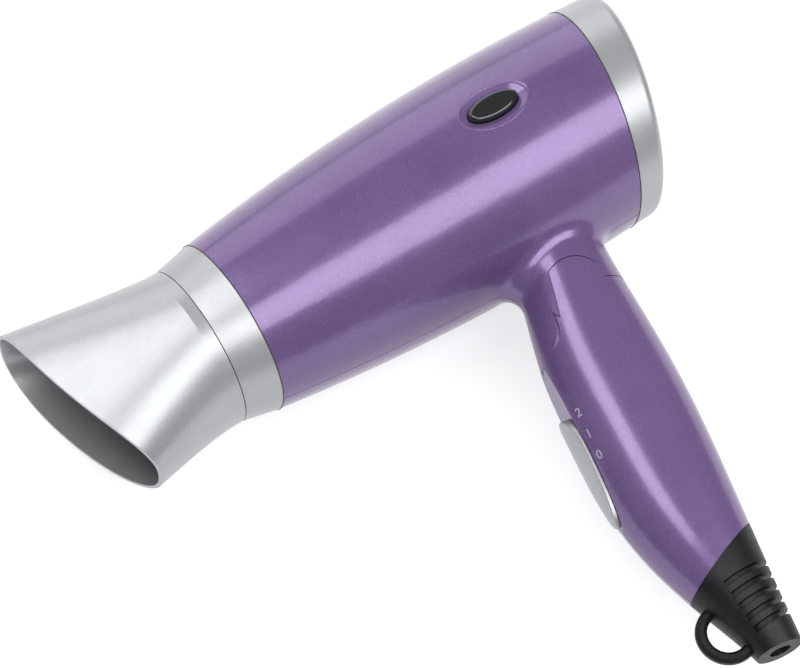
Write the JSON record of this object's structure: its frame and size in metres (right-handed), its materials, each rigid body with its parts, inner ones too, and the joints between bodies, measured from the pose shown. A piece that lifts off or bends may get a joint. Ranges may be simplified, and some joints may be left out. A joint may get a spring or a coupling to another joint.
{
  "type": "travel hair dryer",
  "caption": "Compact hair dryer with a tapering round barrel, an oval air concentrator nozzle, a folding handle with a slide switch and a push button on the barrel side.",
  "frame": {"origin": "centre of the bounding box at its lowest level: the dryer lies on its side on this surface", "axes": "+X from the nozzle to the rear grille along the barrel axis, +Y from the handle to the top of the barrel, +Z out of the side that carries the button"},
  "size_m": [0.224, 0.2182, 0.075],
  "materials": {
    "purple_paint": "metallic pearl paint under gloss lacquer",
    "silver_paint": "satin metallic silver paint",
    "dark_plastic": "heat-proof moulded plastic",
    "inner_plastic": "plain moulded plastic",
    "gloss_black": "polished",
    "black_rubber": "soft moulded",
    "mica": "mica board",
    "heating_wire": "oxidised wire",
    "steel": "plated",
    "board": "lacquered board"
  },
  "bodies": {
    "housing": {"housing_left": "purple_paint", "housing_right": "purple_paint", "front_ring": "silver_paint", "outlet_grille": "dark_plastic", "rear_ring": "silver_paint", "intake_grille": "dark_plastic", "heat_tube": "mica", "mica_cross": "mica", "heater_coil": "heating_wire", "thermal_cutout": "steel", "fan_duct": "inner_plastic", "motor_can": "steel", "motor_end_cap": "inner_plastic", "cool_shot_spring": "steel", "cool_shot_switch": "inner_plastic", "neck_screw": "steel"},
    "rotor": {"rotor": "steel", "fan": "inner_plastic"},
    "button": {"cool_shot_button": "gloss_black"},
    "nozzle_collar": {"nozzle_clip": "steel"},
    "nozzle": {"nozzle": "silver_paint"},
    "handle": {"handle_left": "purple_paint", "handle_right": "purple_paint", "handle_screws": "steel", "hinge_pin": "steel", "switch_body": "inner_plastic", "circuit_board": "board", "strain_relief": "black_rubber", "cord_clamp": "inner_plastic"},
    "slider": {"switch_slider": "silver_paint"}
  },
  "joints": [
    {"name": "handle_fold", "type": "hinge", "parent": "housing", "child": "handle", "pos_m": [0.04536, 0.01897, 0.03716], "axis": [0, 0, -1], "range_deg": [0, 62]},
    {"name": "power_slide", "type": "slide", "parent": "handle", "child": "slider", "axis": [0.1908, 0.9816, 0], "range_m": [0, 0.0152]},
    {"name": "cool_shot_press", "type": "slide", "parent": "housing", "child": "button", "axis": [0, -0.1426, -0.9898], "range_m": [0, 0.0016], "stiffness_N_per_m": 400, "springref_m": -0.0008, "deforming": ["cool_shot_spring"]},
    {"name": "nozzle_pull", "type": "slide", "parent": "housing", "child": "nozzle_collar", "axis": [-1, 0, 0], "range_m": [0, 0.016]},
    {"name": "nozzle_turn", "type": "hinge", "parent": "nozzle_collar", "child": "nozzle", "pos_m": [-0.06764, 0.07197, 0.03716], "axis": [1, 0, 0], "continuous": true},
    {"name": "fan_spin", "type": "hinge", "parent": "housing", "child": "rotor", "pos_m": [0.05136, 0.07197, 0.03716], "axis": [1, 0, 0], "continuous": true}
  ]
}
